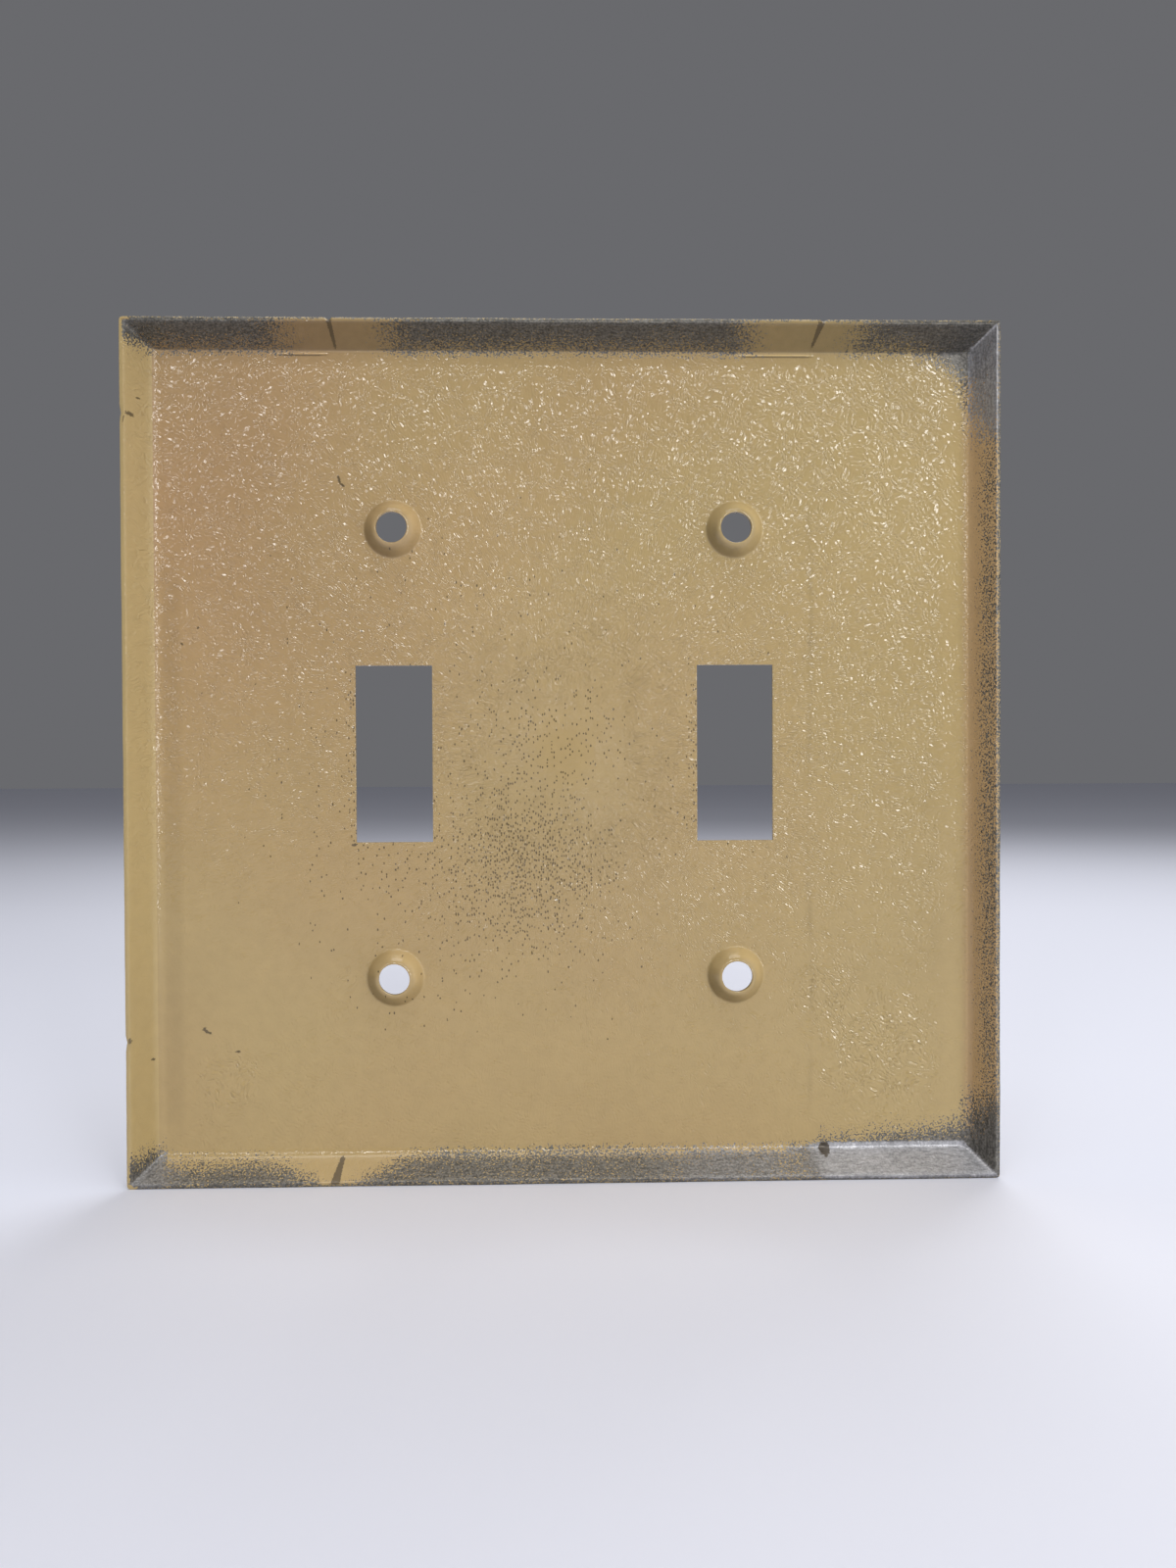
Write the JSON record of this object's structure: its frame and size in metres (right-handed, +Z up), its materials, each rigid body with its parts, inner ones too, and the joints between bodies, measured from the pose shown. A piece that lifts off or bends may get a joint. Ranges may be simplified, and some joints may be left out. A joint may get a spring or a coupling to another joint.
{
  "type": "switch wall plate",
  "caption": "Pressed steel wall plate for a pair of toggle switches, with sloping flanges, countersunk screw dimples and an enamelled, partly bare hollow back.",
  "frame": {"origin": "centre of the plane that the rim lays on the wall", "axes": "+Z is up the wall, +X is to the right for someone looking at the hollow back, and +Y points away from the wall, out of the decorative face"},
  "size_m": [0.116, 0.0051, 0.1142],
  "materials": {
    "enamelled_steel": "satin-gloss tan enamel with a fine orange-peel ripple over steel, thin and speckled with bare steel on the flanges"
  },
  "bodies": {
    "root": {"wall_plate": "enamelled_steel"}
  },
  "joints": []
}
